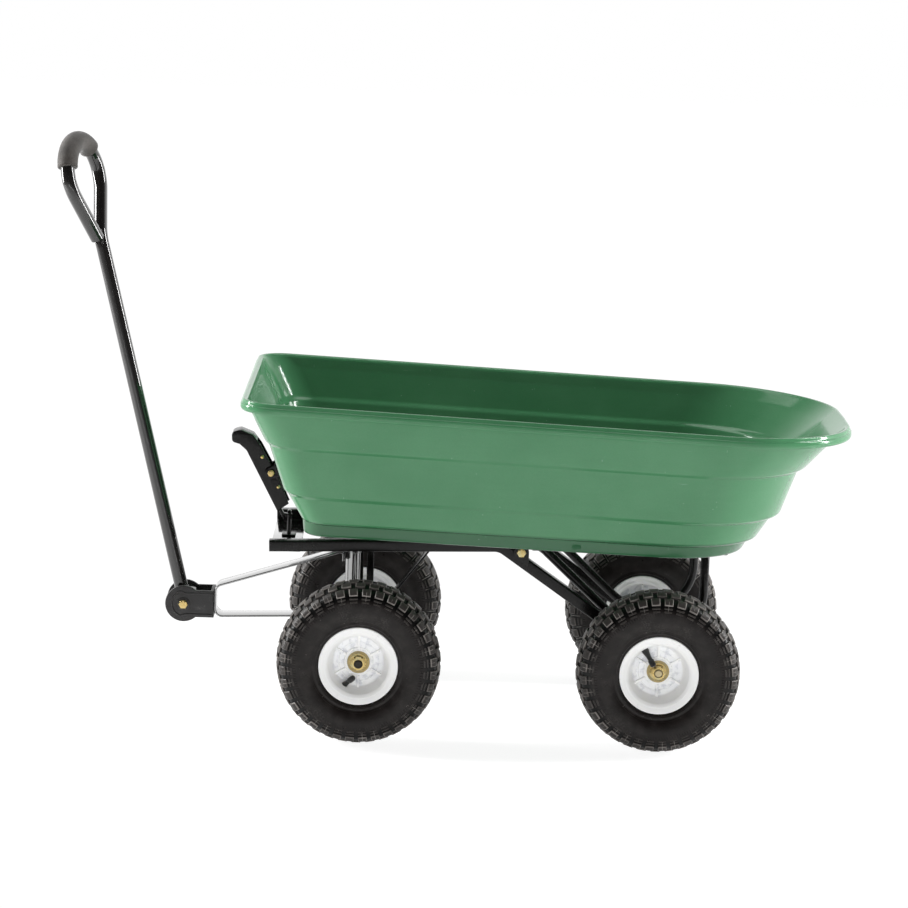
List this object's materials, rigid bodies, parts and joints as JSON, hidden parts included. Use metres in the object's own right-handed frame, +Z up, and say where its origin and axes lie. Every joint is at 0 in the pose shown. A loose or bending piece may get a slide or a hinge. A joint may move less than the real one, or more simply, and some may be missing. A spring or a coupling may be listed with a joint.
{
  "type": "hand cart",
  "caption": "Garden hand cart: a tipping moulded tray on a steel frame, air tyres, a steered front axle and a pull handle with a closed grip.",
  "frame": {"origin": "on the ground under the middle of the cart's outer box", "axes": "+X to the rear of the cart, +Y to the cart's right, +Z up; the handle is at -X"},
  "size_m": [1.2588, 0.516, 0.9158],
  "materials": {
    "tray": "satin moulded polyethylene",
    "frame": "semi-gloss black powder coat",
    "handle_tube": "gloss black paint",
    "clevis": "satin charcoal",
    "grip": "matte rubber sleeve",
    "tyre": "matte",
    "valve": "matte",
    "rim": "satin white",
    "bush": "plain",
    "zinc": "yellow zinc plate",
    "axle": "plain steel",
    "spring": "plain spring wire"
  },
  "bodies": {
    "chassis": {"frame_rail_left": "frame", "frame_rail_right": "frame", "middle_cross_bar": "frame", "cross_bar_bolt_left": "zinc", "cross_bar_bolt_right": "zinc", "front_cross_bar": "frame", "steering_bolster": "frame", "rear_axle_tube": "frame", "rear_axle": "axle", "latch_striker": "frame", "king_bolt": "zinc", "king_nut": "zinc", "axle_nut_rear_left": "zinc", "axle_nut_rear_right": "zinc"},
    "steering": {"front_axle": "axle", "front_axle_beam": "frame", "king_post": "frame", "king_post_stay": "frame", "stay_bolt": "zinc", "turntable_plate": "frame", "steering_brace": "frame", "brace_bolt": "zinc", "draw_loop": "frame", "clevis": "clevis", "handle_pivot_bolt": "zinc", "axle_nut_front_left": "zinc", "axle_nut_front_right": "zinc"},
    "handle": {"handle_tube": "handle_tube", "handle_grip": "grip"},
    "tray": {"tray": "tray", "tray_strap_front": "frame", "tray_strap_rear": "frame", "tray_bolt_front_left": "zinc", "tray_bolt_front_right": "zinc", "tray_bolt_rear_left": "zinc", "tray_bolt_rear_right": "zinc", "tray_leg_left": "frame", "tray_leg_right": "frame", "latch_bracket": "frame", "latch_pin": "zinc", "latch_bolt_upper": "zinc", "latch_bolt_lower": "zinc", "latch_spring": "spring"},
    "latch": {"latch_lever": "frame"},
    "wheel_front_left": {"tyre_front_left": "tyre", "rim_front_left": "rim", "hub_bush_front_left": "bush", "valve_front_left": "valve"},
    "wheel_front_right": {"tyre_front_right": "tyre", "rim_front_right": "rim", "hub_bush_front_right": "bush", "valve_front_right": "valve"},
    "wheel_rear_left": {"tyre_rear_left": "tyre", "rim_rear_left": "rim", "hub_bush_rear_left": "bush", "valve_rear_left": "valve"},
    "wheel_rear_right": {"tyre_rear_right": "tyre", "rim_rear_right": "rim", "hub_bush_rear_right": "bush", "valve_rear_right": "valve"}
  },
  "joints": [
    {"name": "steering_turn", "type": "hinge", "parent": "chassis", "child": "steering", "pos_m": [-0.15062, 0, 0.215], "axis": [0, 0, 1], "range_deg": [-35, 35]},
    {"name": "handle_swing", "type": "hinge", "parent": "steering", "child": "handle", "pos_m": [-0.42362, 0, 0.1656], "axis": [0, 1, 0], "range_deg": [-85, 15]},
    {"name": "tray_tip", "type": "hinge", "parent": "chassis", "child": "tray", "pos_m": [0.32938, 0, 0.128], "axis": [0, 1, 0], "range_deg": [0, 64]},
    {"name": "latch_release", "type": "hinge", "parent": "tray", "child": "latch", "pos_m": [-0.28762, 0, 0.3835], "axis": [0, 1, 0], "range_deg": [0, 16], "stiffness_Nm_per_rad": 0.4, "springref_deg": -20.05, "deforming": ["latch_spring"]},
    {"name": "wheel_spin_front_left", "type": "hinge", "parent": "steering", "child": "wheel_front_left", "pos_m": [-0.13562, -0.21, 0.128], "axis": [0, 1, 0], "continuous": true},
    {"name": "wheel_spin_front_right", "type": "hinge", "parent": "steering", "child": "wheel_front_right", "pos_m": [-0.13562, 0.21, 0.128], "axis": [0, 1, 0], "continuous": true},
    {"name": "wheel_spin_rear_left", "type": "hinge", "parent": "chassis", "child": "wheel_rear_left", "pos_m": [0.32938, -0.21, 0.128], "axis": [0, 1, 0], "continuous": true},
    {"name": "wheel_spin_rear_right", "type": "hinge", "parent": "chassis", "child": "wheel_rear_right", "pos_m": [0.32938, 0.21, 0.128], "axis": [0, 1, 0], "continuous": true}
  ]
}
